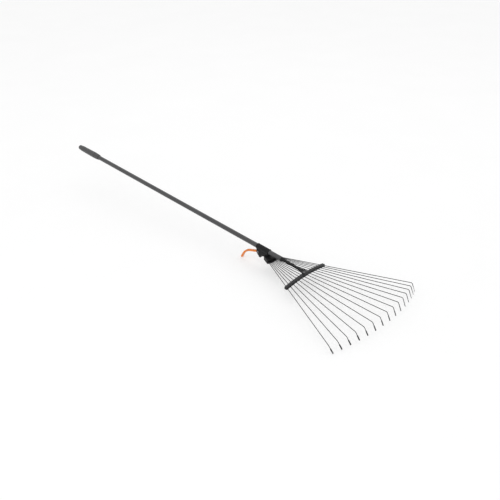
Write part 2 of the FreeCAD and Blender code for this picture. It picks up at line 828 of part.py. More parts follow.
def make_bracket():
    """Upright block under the sleeve: it carries the lever's pin and joins the deck."""
    bracket = new_body("bracket_body")
    profile = sketch_on(bracket, "XZ_Plane", "bracket_profile")
    draw_polygon(profile, BRACKET_PROFILE)
    pad(bracket, "bracket_pad", profile, CHEEK_WIDTH)
    return bracket


def pin_point():
    return from_tube(size("pivot_back"), number(PIVOT_BELOW))


def make_slider_shell():
    """Sleeve, bracket and deck in one moulding, bored for the tube, the lever, pin and shoe."""
    ahead = tube_direction()
    level = FreeCAD.Rotation(V(0, 1, 0), size("handle_rise"))
    sleeve = cylinder(
        "sleeve",
        "size.tube_dia / 2 + size.running_gap + size.sleeve_wall",
        "size.sleeve_front + size.sleeve_rear",
        from_tube(size("sleeve_rear"), 0),
        ahead,
    )
    solid = fuse("shell_solid", [sleeve, make_bracket(), make_deck()])
    pin = pin_point()
    tools = [
        cylinder(
            "sleeve_bore",
            "size.tube_dia / 2 + size.running_gap",
            "size.sleeve_front + size.sleeve_rear + 30",
            from_tube(size("sleeve_rear") + 15, 0),
            ahead,
        ),
        box(
            "lever_way",
            LEVER_WAY[0],
            LEVER_SLOT,
            LEVER_WAY[1],
            pin + V(CAM_SPACE - LEVER_WAY[0] / 2, 0, CAM_SPACE - LEVER_WAY[1] / 2),
            level,
        ),
        box(
            "shoe_window",
            f"size.shoe_length + {2 * SHOE_PLAY}",
            f"{SHOE_WIDTH} + {2 * SHOE_PLAY}",
            8,
            from_tube(size("pivot_back"), number(TUBE_RADIUS) + WINDOW_DROP),
            level,
        ),
        cylinder("pin_hole", "size.pin_dia / 2", 40, pin - V(0, 20, 0), V(0, 1, 0)),
    ]
    up = V(0, 0, 1)
    for index, spot in enumerate(HOLDER_SCREWS, start=1):
        start = V(spot.x, spot.y, size("mouth_floor") - 1)
        length = size("deck_top") - size("mouth_floor") - 2
        tools.append(cylinder(f"pilot_{index}", "size.bar_screw_dia / 2", length, start, up))
    keep(cut("shell_cut", solid, fuse("shell_tools", tools)), "slider_shell", HUB_PLACE)


def make_tine_plate():
    """Lower half of the tine holder, with a hole for each tine's leg and four screw holes."""
    plate = new_body("plate_body")
    plan = level_sketch(plate, "plate_plan", size("plate_bottom"))
    holder_outline(plan)
    block = pad(plate, "plate_pad", plan, "size.mouth_floor - size.plate_bottom", "One side")
    corners = round_edges(plate, "plate_corners", block, HOLDER_CORNER, upright)
    round_edges(plate, "plate_round", corners, PLATE_ROUND, level_rim(size("plate_bottom")))
    legs = sketch_on(plate, "XY_Plane", "leg_holes")
    row_half = "size.guide_span / size.fan_apex * (size.fan_apex - size.pivot_setback)"
    leg_hole = "size.wire_dia / 2 + size.leg_play"
    for place in PLACES:
        across = f"{place} * {row_half}"
        draw_circle(legs, "size.hub_setback - size.pivot_setback", across, leg_hole)
    for spot in HOLDER_SCREWS:
        draw_circle(legs, spot.x, spot.y, f"size.bar_screw_dia / 2 + {HOLE_PLAY}")
    pocket(plate, "plate_drilling", legs)
    seats = level_sketch(plate, "screw_seats", size("plate_bottom"))
    for spot in HOLDER_SCREWS:
        draw_circle(seats, spot.x, spot.y, "size.bar_screw_dia + 0.2")
    pocket(plate, "screw_seating", seats, SCREW_HEAD, "One side", reverse=True)
    keep(plate, "tine_plate", HUB_PLACE)


def make_slider_fasteners():
    """Four screws up through the plate, the lever's pin, and the clip on the pin's end."""
    screws = []
    for index, spot in enumerate(HOLDER_SCREWS, start=1):
        seat = V(spot.x, spot.y, size("plate_bottom") + SCREW_HEAD)
        length = HOLDER_SCREW_LENGTH
        shank = cylinder(f"screw_shank_{index}", "size.bar_screw_dia / 2", length, seat, V(0, 0, 1))
        head = cylinder(f"screw_head_{index}", "size.bar_screw_dia", SCREW_HEAD, seat, V(0, 0, -1))
        screws.append(fuse(f"holder_screw_{index}", [shank, head]))
    keep(group("holder_screw_set", screws), "holder_screws", HUB_PLACE)

    pin = pin_point()
    half = number(CHEEK_WIDTH) / 2
    left = V(0, 1, 0)
    shank = cylinder(
        "pin_shank", "size.pin_dia / 2", f"{CHEEK_WIDTH} + {PIN_END}", pin - left * half, left
    )
    head = cylinder("pin_head", "size.pin_dia * 0.8", PIN_HEAD, pin - left * half, left * -1)
    keep(fuse("pin_solid", [shank, head]), "lever_pin", HUB_PLACE)
    ring = cylinder("clip_ring", "size.pin_dia * 0.9", CLIP_THICK, pin + left * half, left)
    hole = cylinder("clip_hole", "size.pin_dia / 2", 3 * CLIP_THICK, pin + left * (half - 1), left)
    keep(cut("clip_solid", ring, hole), "pin_clip", HUB_PLACE)


def make_brake_shoe():
    """Small saddle between the cam and the tube."""
    level = FreeCAD.Rotation(V(0, 1, 0), size("handle_rise"))
    depth = "size.pivot_drop - size.cam_radius - size.cam_offset - size.cam_gap"
    height = f"{depth} + {SHOE_WRAP}"
    below = number(TUBE_RADIUS) + (number(depth) - SHOE_WRAP) / 2
    centre = from_tube(size("pivot_back"), below)
    block = box("shoe_block", "size.shoe_length", SHOE_WIDTH, height, centre, level)
    tube = cylinder(
        "shoe_saddle",
        f"size.tube_dia / 2 + {SHOE_GAP}",
        "size.shoe_length * 2",
        from_tube(size("pivot_back") + size("shoe_length"), 0),
        tube_direction(),
    )
    keep(cut("shoe_solid", block, tube), "brake_shoe", HUB_PLACE)


def make_cam_lever():
    """Lever with an eccentric head on the pin and a curled tip that reaches the ground."""
    slope = math.radians(size("lever_slope"))
    back = V(-math.cos(slope), 0, -math.sin(slope))
    upward = V(-math.sin(slope), 0, math.cos(slope))
    turn = FreeCAD.Rotation(back, V(0, -1, 0), upward, "XYZ")
    curl = math.radians(size("lever_curl"))
    fall = slope + curl
    corner = pin_point() + back * size("lever_arm")
    drop = corner.z - (FLOOR + size("lever_thick") / 2)
    run = drop / math.sin(fall)

    body = new_body("lever_body")
    path = sketch_on(body, "XZ_Plane", "lever_path")
    bend = V(size("lever_arm"), 0, 0)
    onward = V(math.cos(curl), -math.sin(curl), 0)
    trim = size("lever_curl_radius") * math.tan(curl / 2)
    sagitta = size("lever_curl_radius") * (1 / math.cos(curl / 2) - 1)
    crest = bend + V(-math.sin(curl / 2), -math.cos(curl / 2), 0) * sagitta
    tip = bend + onward * run
    draw_chain(
        path,
        [
            Part.LineSegment(V(0, 0, 0), bend - V(trim, 0, 0)),
            Part.Arc(bend - V(trim, 0, 0), crest, bend + onward * trim),
            Part.LineSegment(bend + onward * trim, tip),
        ],
    )
    section = sketch_on(body, "YZ_Plane", "lever_section")
    corner_radius = size("lever_corner")
    draw_chain(
        section, rounded_box_edges(size("lever_width"), size("lever_thick"), corner_radius)
    )
    add_swept(body, "lever_arm", section, path, 3)
    end = sketch_on(body, "XZ_Plane", "lever_tip")
    draw_circle(end, tip.x, tip.y, "size.lever_thick / 2")
    pad(body, "lever_tip_pad", end, f"size.lever_width - {corner_radius}")

    square = V(-tube_direction().z, 0, tube_direction().x)
    lobe = sketch_on(body, "XZ_Plane", "cam_lobe")
    offset = size("cam_offset")
    draw_circle(lobe, square.dot(back) * offset, square.dot(upward) * offset, "size.cam_radius")
    pad(body, "cam_pad", lobe, "size.lever_width")
    bore = sketch_on(body, "XZ_Plane", "cam_bore")
    draw_circle(bore, 0, 0, "size.pin_dia / 2 + size.running_gap")
    pocket(body, "cam_boring", bore)
    keep(body, "cam_lever", FreeCAD.Placement(HUB + pin_point(), turn))


# ---------------------------------------------------------------- tines


def bent_line(corners, radii):
    """Wire of straight runs through the corners, with a tangent arc at each inner corner."""
    edges = []
    start = corners[0]
    for before, corner, after, radius in zip(corners, corners[1:], corners[2:], radii):
        back = (before - corner).normalize()
        onward = (after - corner).normalize()
        half_turn = (math.pi - back.getAngle(onward)) / 2
        trim = radius * math.tan(half_turn)
        sagitta = radius * (1 / math.cos(half_turn) - 1)
        arc_start, arc_end = corner + back * trim, corner + onward * trim
        crest = corner + (back + onward).normalize() * sagitta
        edges.append(Part.makeLine(start, arc_start))
        edges.append(Part.Arc(arc_start, crest, arc_end).toShape())
        start = arc_end
    edges.append(Part.makeLine(start, corners[-1]))
    return Part.Wire(edges)


def make_tine(place, label):
    """Spring wire: a leg in the holder, a straight run, a knee, and a hook with a flat blade."""
    line = TineLine(place)
    foot = line.pivot - V(0, 0, size("leg_length"))
    blade_start = line.tip - line.hook_way * size("blade_length")
    corners = [foot, line.pivot, line.knee, blade_start + line.hook_way]
    path = bent_line(corners, [size("heel_radius"), size("knee_radius")])
    ring = Part.Wire([Part.makeCircle(size("wire_dia") / 2, foot, V(0, 0, 1))])
    wire = path.makePipeShell([ring], True, True)

    half_width, half_thick = size("blade_width") / 2, size("blade_thick") / 2
    flat = Part.makeBox(size("blade_width"), size("blade_thick"), size("blade_length"))
    flat = flat.makeFillet(half_thick * 0.9, [e for e in flat.Edges if upright(e)])
    flat.translate(V(-half_width, -half_thick, 0))
    turn = FreeCAD.Rotation(line.across, line.face, line.hook_way, "ZXY")
    flat.Placement = FreeCAD.Placement(blade_start, turn).multiply(flat.Placement)
    tine = doc.addObject("Part::Feature", f"{label}_wire")
    tine.Shape = wire.fuse(flat).removeSplitter()
    keep(tine, label, BAR_PLACE)


# ---------------------------------------------------------------- build and write


def faults():
    """Objects that failed to build, and sub-parts without a valid solid."""
    found = [o.Name for o in doc.Objects if "Invalid" in o.State or "Error" in o.State]
    for piece in PIECES:
        if piece.Shape.isNull() or not piece.Shape.isValid() or not piece.Shape.Solids:
            found.append(piece.Label)
    return found


def main():
    make_handle_tube()
    make_neck()
    make_grip()
    make_crossbar()
    make_crossbar_fasteners()
    make_slider_shell()
    make_tine_plate()
    make_slider_fasteners()
    make_brake_shoe()
    make_cam_lever()
    for index, place in enumerate(PLACES, start=1):
        make_tine(place, f"tine_{index:02d}")
    doc.recompute()
    found = faults()
    if found:
        raise SystemExit(f"not built: {found}")
    os.makedirs("parts", exist_ok=True)
    for piece in PIECES:
        piece.Shape.exportStep(f"parts/{piece.Label}.step")
        bounds = piece.Shape.BoundBox
        print(piece.Label, len(piece.Shape.Solids), round(piece.Shape.Volume), bounds)


main()
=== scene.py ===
"""Looks of the adjustable wire leaf rake: its finishes, its small moulded details and a studio."""

import json
import logging
import math
from dataclasses import dataclass
from enum import Enum

import bmesh
import bpy
from mathutils import Matrix, Vector
from mathutils.bvhtree import BVHTree


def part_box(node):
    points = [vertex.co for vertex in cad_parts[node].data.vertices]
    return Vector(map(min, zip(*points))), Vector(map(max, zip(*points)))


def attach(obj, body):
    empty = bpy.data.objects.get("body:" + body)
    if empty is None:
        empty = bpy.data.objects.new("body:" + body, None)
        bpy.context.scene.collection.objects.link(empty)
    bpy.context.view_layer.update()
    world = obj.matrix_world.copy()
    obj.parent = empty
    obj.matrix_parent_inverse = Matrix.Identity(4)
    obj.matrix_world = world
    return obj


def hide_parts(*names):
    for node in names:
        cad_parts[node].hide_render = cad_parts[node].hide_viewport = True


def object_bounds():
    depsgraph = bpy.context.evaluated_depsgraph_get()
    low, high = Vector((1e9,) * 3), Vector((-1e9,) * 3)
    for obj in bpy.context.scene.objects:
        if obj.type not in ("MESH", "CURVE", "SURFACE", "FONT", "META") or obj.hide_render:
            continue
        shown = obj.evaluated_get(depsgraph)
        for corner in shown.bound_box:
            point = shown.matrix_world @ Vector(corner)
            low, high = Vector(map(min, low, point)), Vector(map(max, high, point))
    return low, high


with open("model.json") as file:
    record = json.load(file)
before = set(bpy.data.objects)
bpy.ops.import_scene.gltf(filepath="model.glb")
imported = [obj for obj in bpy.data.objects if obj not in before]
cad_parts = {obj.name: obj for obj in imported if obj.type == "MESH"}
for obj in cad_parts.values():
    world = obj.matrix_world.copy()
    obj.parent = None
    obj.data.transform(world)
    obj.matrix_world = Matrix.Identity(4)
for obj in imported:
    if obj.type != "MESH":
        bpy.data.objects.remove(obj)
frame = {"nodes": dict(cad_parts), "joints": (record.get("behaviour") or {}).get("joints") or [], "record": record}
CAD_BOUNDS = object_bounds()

LOG = logging.getLogger("leaf_rake")
Colour = tuple[float, float, float]
Span = tuple[float, float]
Socket = bpy.types.NodeSocket
MM = 0.001
SIDE = Vector((0.0, 1.0, 0.0))
DOWN = Vector((0.0, 0.0, -1.0))
BEVEL_SAMPLES = 6
WELD_DISTANCE = 0.001 * MM
FULL = (0.0, 1.0)
NOISE_SPAN = (0.3, 0.7)  # the values that cloudy noise mostly takes


class Body(Enum):
    """Rigid bodies that added pieces ride on."""

    HANDLE = "handle_and_crossbar"
    SLIDER = "slider"
    LEVER = "lever_body"


class Drive(Enum):
    """Shape of the recess in a fastener's head."""

    CROSS = "cross"
    HEX = "hex"


# ------------------------------------------------------------------ node graphs


class Graph:
    """A material's node graph, with short calls for the nodes that the finishes share."""

    def __init__(self, name: str, colour: Colour, roughness: float, metallic: float = 0.0) -> None:
        """Start a material with one principled shader.

        Args:
            name: Name of the material.
            colour: Linear base colour.
            roughness: Base roughness.
            metallic: 1 for bare metal, 0 for a coat or a plastic.
        """
        self.material = bpy.data.materials.new(name)
        self.material.use_nodes = True
        self.material.diffuse_color = (*colour, 1.0)
        self.tree = self.material.node_tree
        self.tree.nodes.clear()
        output = self.add("ShaderNodeOutputMaterial")
        self.shader = self.add("ShaderNodeBsdfPrincipled")
        self.shader.inputs["Base Color"].default_value = (*colour, 1.0)
        self.shader.inputs["Roughness"].default_value = roughness
        self.shader.inputs["Metallic"].default_value = metallic
        self.link(self.shader.outputs["BSDF"], output.inputs["Surface"])
        self.place = self.add("ShaderNodeTexCoord").outputs["Object"]

    def add(self, kind: str) -> bpy.types.ShaderNode:
        """Add a node of a kind.

        Args:
            kind: Blender's name for the node type.

        Returns:
            The new node.
        """
        return self.tree.nodes.new(kind)

    def link(self, source: Socket, target: Socket) -> None:
        """Join two sockets.

        Args:
            source: Output socket.
            target: Input socket.
        """
        self.tree.links.new(source, target)

    def fix(self, **values: float) -> None:
        """Set constants on the shader's own sockets.

        Args:
            values: Socket names in lower case with underscores, and their values.
        """
        for name, value in values.items():
            words = [w.upper() if w == "ior" else w.capitalize() for w in name.split("_")]
            self.shader.inputs[" ".join(words)].default_value = value

    def stretched(self, stretch: Colour, turn_y: float = 0.0) -> Socket:
        """Coordinates turned about Y, then scaled along each axis.

        Args:
            stretch: Scale along X, Y and Z.
            turn_y: Turn about Y in radians.

        Returns:
            The coordinates' socket.
        """
        turn = self.add("ShaderNodeMapping")
        turn.inputs["Rotation"].default_value = (0.0, turn_y, 0.0)
        self.link(self.place, turn.inputs["Vector"])
        scale = self.add("ShaderNodeMapping")
        scale.inputs["Scale"].default_value = stretch
        self.link(turn.outputs["Vector"], scale.inputs["Vector"])
        return scale.outputs["Vector"]

    def noise(self, scale: float, detail: float = 3.0, where: Socket | None = None) -> Socket:
        """Cloudy noise.

        Args:
            scale: Features for each metre.
            detail: Octaves of finer noise.
            where: Coordinates, or None for the plain ones.

        Returns:
            The noise's value.
        """
        node = self.add("ShaderNodeTexNoise")
        node.inputs["Scale"].default_value = scale
        node.inputs["Detail"].default_value = detail
        self.link(where or self.place, node.inputs["Vector"])
        return node.outputs["Fac"]

    def cells(self, scale: float) -> Socket:
        """Distance to the nearest cell centre, for spark-eroded and sprayed grain.

        Args:
            scale: Cells for each metre.

        Returns:
            The distance's socket.
        """
        node = self.add("ShaderNodeTexVoronoi")
        node.inputs["Scale"].default_value = scale
        self.link(self.place, node.inputs["Vector"])
        return node.outputs["Distance"]

    def spread(self, value: Socket, span: Span = NOISE_SPAN, into: Span = FULL) -> Socket:
        """Stretch a value from one range to another, clamped.

        Args:
            value: The value.
            span: Inputs that give the first and the second end of into.
            into: The two ends of the output.

        Returns:
            The stretched value.
        """
        node = self.add("ShaderNodeMapRange")
        self.link(value, node.inputs["Value"])
        for name, amount in zip(("From Min", "From Max", "To Min", "To Max"), (*span, *into)):
            node.inputs[name].default_value = amount
        return node.outputs["Result"]

    def maths(self, operation: str, first: Socket, second: Socket | float) -> Socket:
        """Combine two values.

        Args:
            operation: Blender's name for the maths operation.
            first: First value.
            second: Second value, as a socket or a constant.

        Returns:
            The result's socket.
        """
        node = self.add("ShaderNodeMath")
        node.operation = operation
        self.link(first, node.inputs[0])
        if isinstance(second, float):
            node.inputs[1].default_value = second
        else:
            self.link(second, node.inputs[1])
        return node.outputs["Value"]

    def tint(self, factor: Socket, first: Colour | Socket, second: Colour | Socket) -> Socket:
        """Colour between two colours.

        Args:
            factor: 0 gives the first, 1 the second.
            first: A linear colour or a colour socket.
            second: A linear colour or a colour socket.

        Returns:
            The mixed colour.
        """
        node = self.add("ShaderNodeMix")
        node.data_type = "RGBA"
        self.link(factor, node.inputs[0])
        for colour, index in ((first, 6), (second, 7)):
            if isinstance(colour, tuple):
                node.inputs[index].default_value = (*colour, 1.0)
            else:
                self.link(colour, node.inputs[index])
        return node.outputs[2]

    def soft_normal(self, radius: float) -> Socket:
        """Normal that rounds hard edges.

        Args:
            radius: Radius of the rounding in metres.

        Returns:
            The normal's socket.
        """
        node = self.add("ShaderNodeBevel")
        node.samples = BEVEL_SAMPLES
        node.inputs["Radius"].default_value = radius
        return node.outputs["Normal"]

    def edges(self, radius: float, low: float, high: float) -> Socket:
        """Mask of the edges, where the rounded normal leaves the face's own.

        Args:
            radius: Reach of the mask in metres.
            low: Difference that counts as no edge.
            high: Difference that counts as a full edge.

        Returns:
            0 on faces, 1 on edges.
        """
        dot = self.add("ShaderNodeVectorMath")
        dot.operation = "DOT_PRODUCT"
        self.link(self.soft_normal(radius), dot.inputs[0])
        self.link(self.add("ShaderNodeNewGeometry").outputs["Normal"], dot.inputs[1])
        return self.spread(dot.outputs["Value"], (1.0 - low, 1.0 - high))

    def height(self, value: Socket, depth: float, strength: float = 1.0) -> None:
        """Add a bump on top of the shader's normal.

        Args:
            value: Height from 0 to 1.
            depth: Depth of the relief in metres.
            strength: Share of the relief that shows.
        """
        node = self.add("ShaderNodeBump")
        node.inputs["Strength"].default_value = strength
        node.inputs["Distance"].default_value = depth
        self.link(value, node.inputs["Height"])
        target = self.shader.inputs["Normal"]
        if target.is_linked:
            self.link(target.links[0].from_socket, node.inputs["Normal"])
        self.link(node.outputs["Normal"], target)

    def colour(self, socket: Socket) -> None:
        """Drive the base colour.

        Args:
            socket: The colour.
        """
        self.link(socket, self.shader.inputs["Base Color"])

    def roughness(self, value: Socket, least: float, most: float, span: Span = NOISE_SPAN) -> None:
        """Drive the roughness.

        Args:
            value: Any value, such as noise.
            least: Roughness where the value is at the first end of span.
            most: Roughness where it is at the second end.
            span: The value's range.
        """
        self.link(self.spread(value, span, (least, most)), self.shader.inputs["Roughness"])


# ------------------------------------------------------------------ finishes


@dataclass(frozen=True)
class Finish:
    """A finish by name and colour; each kind paints itself."""

    name: str
    colour: Colour
    roughness: float

    def shade(self, factor: float) -> Colour:
        """The finish's colour, made lighter or darker.

        Args:
            factor: Above 1 is lighter, below 1 darker.

        Returns:
            The linear colour.
        """
        return tuple(min(1.0, c * factor) for c in self.colour)

    def build(self) -> bpy.types.Material:
        """Make the material. Each kind of finish has its own.

        Returns:
            The material.
        """
        raise NotImplementedError


@dataclass(frozen=True)
class PowderCoat(Finish):
    """Sprayed and baked coat on a drawn tube: fine orange peel, faint rub marks, bright edges."""

    metal: Colour = (0.32, 0.33, 0.35)
    fall: float = 0.0

    def build(self) -> bpy.types.Material:
        """Paint the coat.

        Returns:
            The material.
        """
        graph = Graph(self.name, self.colour, self.roughness)
        along = graph.stretched((6.0, 160.0, 160.0), self.fall)
        clouds = graph.spread(graph.noise(14.0, 4.0), (0.35, 0.68))
        coat = graph.tint(clouds, self.shade(0.86), self.shade(1.16))
        rubs = graph.spread(graph.noise(4.0, 5.0, along), (0.6, 0.76), (0.0, 0.35))
        coat = graph.tint(rubs, coat, self.shade(1.5))
        specks = graph.spread(graph.cells(1400.0), (0.0, 0.16), (0.5, 0.0))
        coat = graph.tint(specks, coat, self.shade(1.9))
        edges = graph.edges(0.9 * MM, low=0.05, high=0.3)
        worn = graph.maths("MULTIPLY", edges, graph.noise(420.0, 4.0))
        worn = graph.spread(worn, (0.3, 0.55), (0.0, 0.7))
        graph.colour(graph.tint(worn, coat, self.metal))
        graph.roughness(graph.noise(55.0, 4.0), self.roughness - 0.06, self.roughness + 0.09)
        graph.link(graph.soft_normal(0.5 * MM), graph.shader.inputs["Normal"])
        graph.height(graph.noise(900.0, 2.0), 0.04 * MM, 0.5)
        graph.fix(coat_weight=0.12, coat_roughness=0.25)
        return graph.material


@dataclass(frozen=True)
class MouldedPlastic(Finish):
    """Moulded plastic: spark-eroded grain, flow clouds, and paler rubbed edges."""

    grain: float = 1500.0
    grain_depth: float = 0.05 * MM
    edge_lift: float = 1.8
    dust: float = 0.25
    shine: float = 0.35

    def build(self) -> bpy.types.Material:
        """Paint the plastic.

        Returns:
            The material.
        """
        graph = Graph(self.name, self.colour, self.roughness)
        flow = graph.noise(30.0, 5.0, graph.stretched((1.0, 2.2, 1.6)))
        body = graph.tint(graph.spread(flow), self.shade(0.88), self.shade(1.14))
        edges = graph.edges(1.1 * MM, low=0.04, high=0.28)
        rubbed = graph.maths("MULTIPLY", edges, graph.noise(300.0, 4.0))
        rubbed = graph.spread(rubbed, (0.22, 0.6), (0.0, 0.8))
        body = graph.tint(rubbed, body, self.shade(self.edge_lift))
        dusty = graph.spread(graph.noise(75.0, 6.0), (0.52, 0.78), (0.0, self.dust))
        body = graph.tint(dusty, body, tuple(c * 0.75 + 0.05 for c in self.colour))
        graph.colour(body)
        graph.roughness(graph.noise(120.0, 3.0), self.roughness - 0.05, self.roughness + 0.08)
        graph.link(graph.soft_normal(0.6 * MM), graph.shader.inputs["Normal"])
        graph.height(graph.cells(self.grain), self.grain_depth, 0.45)
        graph.height(graph.noise(60.0, 2.0), 0.2 * MM, 0.12)
        graph.fix(specular_ior_level=self.shine)
        return graph.material


@dataclass(frozen=True)
class SoftGrip(Finish):
    """Soft-touch grip rubber: matt, with fine pores in painted shade and a painted highlight on its edges and
    crowns.
    """

    pores: float = 1900.0
    polish: float = 0.07

    def build(self) -> bpy.types.Material:
        """Paint the rubber.

        Returns:
            The material.
        """
        graph = Graph(self.name, self.colour, self.roughness)
        clouds = graph.spread(graph.noise(45.0, 5.0), (0.32, 0.7))
        body = graph.tint(clouds, self.shade(0.84), self.shade(1.18))
        # painted highlight: the grip's edges and crowns are lightened as if they caught the light
        painted_edge_highlight = graph.spread(graph.edges(1.4 * MM, low=0.02, high=0.2), (0.1, 1.0), (0.0, 0.5))
        body = graph.tint(painted_edge_highlight, body, self.shade(1.5))
        # painted shade: the pores are darkened where shade falls inside them
        painted_pore_shade = graph.spread(graph.cells(self.pores), (0.0, 0.22), (0.45, 0.0))
        graph.colour(graph.tint(painted_pore_shade, body, self.shade(0.55)))
        graph.roughness(clouds, self.roughness - self.polish, self.roughness + self.polish, FULL)
        graph.height(graph.cells(self.pores), 0.07 * MM, 0.5)
        graph.height(graph.noise(150.0, 4.0), 0.15 * MM, 0.15)
        graph.fix(sheen_weight=0.15, sheen_roughness=0.5)
        return graph.material


@dataclass(frozen=True)
class CoatedWire(Finish):
    """Dark lacquer on spring wire, scraped towards bare steel at the blades."""

    steel: Colour = (0.3, 0.3, 0.31)
    blade_level: float = 30 * MM
    smoothest: float = 0.28

    def build(self) -> bpy.types.Material:
        """Paint the wire.

        Returns:
            The material.
        """
        graph = Graph(self.name, self.colour, self.roughness)
        clouds = graph.spread(graph.noise(60.0, 4.0), (0.35, 0.65))
        lacquer = graph.tint(clouds, self.shade(0.8), self.shade(1.3))
        split = graph.add("ShaderNodeSeparateXYZ")
        graph.link(graph.place, split.inputs["Vector"])
        near_tip = graph.spread(split.outputs["Z"], (self.blade_level, 0.0))
        scuff = graph.maths("MULTIPLY", near_tip, graph.noise(340.0, 5.0))
        bare = graph.spread(scuff, (0.3, 0.55), (0.0, 0.75))
        graph.colour(graph.tint(bare, lacquer, self.steel))
        graph.roughness(graph.noise(240.0, 3.0), self.smoothest, self.roughness)
        graph.height(graph.noise(1600.0, 2.0), 0.03 * MM, 0.4)
        graph.fix(specular_ior_level=0.25)
        return graph.material


@dataclass(frozen=True)
class ZincPlate(Finish):
    """Zinc-plated steel with a faint crystalline bloom and turned lines."""

    def build(self) -> bpy.types.Material:
        """Paint the plate.

        Returns:
            The material.
        """
        graph = Graph(self.name, self.colour, self.roughness, 1.0)
        bloom = graph.spread(graph.cells(900.0), (0.1, 0.7))
        plate = graph.tint(bloom, self.shade(0.8), self.shade(1.08))
        dull = graph.spread(graph.noise(260.0, 5.0), (0.5, 0.75), (0.0, 0.5))
        graph.colour(graph.tint(dull, plate, self.shade(0.6)))
        lines = graph.noise(1.0, 3.0, graph.stretched((500.0, 500.0, 6000.0)))
        graph.roughness(lines, self.roughness - 0.08, self.roughness + 0.12)
        graph.height(lines, 0.03 * MM, 0.3)
        return graph.material


FINISHES: dict[str, Finish] = {
    "coated_tube": PowderCoat("graphite_powder_coat", (0.043, 0.043, 0.045), 0.42, fall=0.085),
    "grip_rubber": SoftGrip("soft_grip_rubber", (0.048, 0.048, 0.049), 0.62),
    "black_plastic": MouldedPlastic(
        "black_moulded_plastic", (0.006, 0.006, 0.0066), 0.5, dust=0.08, shine=0.2
    ),
    "grey_plastic": MouldedPlastic(
        "dark_grey_moulded_plastic", (0.02, 0.02, 0.0212), 0.5, dust=0.15, shine=0.3
    ),
    "orange_plastic": MouldedPlastic(
        "orange_moulded_plastic",
        (0.72, 0.2, 0.026),
        0.36,
        grain_depth=0.03 * MM,
        edge_lift=1.15,
        dust=0.1,
        shine=0.4,
    ),
    "spring_wire": CoatedWire("lacquered_spring_wire", (0.004, 0.004, 0.005), 0.5),
    "zinc_steel": ZincPlate("black_zinc_plated_steel", (0.2, 0.2, 0.205), 0.38),
    "shoe_rubber": SoftGrip("brake_shoe_rubber", (0.02, 0.02, 0.02), 0.75),
}


class Paintshop:
    """Builds each finish once and dresses nodes and added pieces with it."""

    def __init__(self) -> None:
        """Build every finish."""
        self.materials = {slot: finish.build() for slot, finish in FINISHES.items()}
        record = frame["record"]
        self.slot_of = {part["node"]: part["material_slot"] for part in record["subparts"]}

    def paint(self, obj: bpy.types.Object, slot: str) -> None:
        """Give an object one finish all over.

        Args:
            obj: The object.
            slot: The record's material slot.
        """
        obj.data.materials.clear()
        obj.data.materials.append(self.materials[slot])

    def dress(self, node: str) -> None:
        """Give a CAD node the finish of its slot.

        Args:
            node: Name of the node.
        """
        self.paint(frame["nodes"][node], self.slot_of[node])
        LOG.info("dressed %s with %s", node, self.slot_of[node])

    def add_piece(self, obj: bpy.types.Object, body: Body, slot: str) -> None:
        """Paint an added piece and let it ride on its body.

        Args:
            obj: The piece, in place.
            body: The body that it belongs to.
            slot: The record's material slot.
        """
        self.paint(obj, slot)
        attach(obj, body.value)
        LOG.info("added %s on %s", obj.name, body.value)

    def swap_in(self, obj: bpy.types.Object, node: str, body: Body) -> None:
        """Show a detailed piece in the place of a plain CAD node, in the node's finish.

        Args:
            obj: The detailed piece, in place.
            node: Name of the node that it replaces.
            body: The body that it belongs to.
        """
        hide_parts(node)
        self.add_piece(obj, body, self.slot_of[node])


# ------------------------------------------------------------------ mesh helpers


def new_object(name: str, mesh: bmesh.types.BMesh, smooth_angle: float = 35.0) -> bpy.types.Object:
    """Turn a bmesh into an object with smooth faces and sharp edges where they fold.

    Args:
        name: Name of the piece.
        mesh: The mesh, freed here.
        smooth_angle: Folds above this many degrees stay sharp.

    Returns:
        The object, linked into the scene.
    """
    bmesh.ops.recalc_face_normals(mesh, faces=mesh.faces)
    for face in mesh.faces:
        face.smooth = True
    for edge in mesh.edges:
        if len(edge.link_faces) == 2:
            edge.smooth = edge.calc_face_angle(0.0) < math.radians(smooth_angle)
    data = bpy.data.meshes.new(name)
    mesh.to_mesh(data)
    mesh.free()
    obj = bpy.data.objects.new(name, data)
    bpy.context.scene.collection.objects.link(obj)
    return obj


def full_turn(count: int) -> list[float]:
    """Evenly spaced angles around a circle.

    Args:
        count: Number of angles.

    Returns:
        The angles in radians, from 0.
    """
    return [2 * math.pi * i / count for i in range(count)]


def skin(mesh: bmesh.types.BMesh, rings: list[list[Vector]], close_ends: bool = True) -> None:
    """Join rings of equal length with quads.

    Args:
        mesh: Mesh that takes the faces.
        rings: Rings of points, in order along the piece.
        close_ends: Whether the first and last rings are filled.
    """
    rows = [[mesh.verts.new(point) for point in ring] for ring in rings]
    count = len(rows[0])
    for near, far in zip(rows, rows[1:]):
        for i in range(count):
            j = (i + 1) % count
            mesh.faces.new((near[i], near[j], far[j], far[i]))
    if close_ends:
        mesh.faces.new(list(reversed(rows[0])))
        mesh.faces.new(rows[-1])


def carve(target: bpy.types.Object, cutter: bpy.types.Object) -> None:
    """Cut one mesh out of another and remove the cutter.

    Args:
        target: The object that loses the space.
        cutter: The space, as a closed mesh.
    """
    modifier = target.modifiers.new("carve", "BOOLEAN")
    modifier.operation = "DIFFERENCE"
    modifier.solver = "EXACT"
    modifier.object = cutter
    graph = bpy.context.evaluated_depsgraph_get()
    data = bpy.data.meshes.new_from_object(target.evaluated_get(graph))
    target.modifiers.clear()
    target.data = data
    bpy.data.objects.remove(cutter)


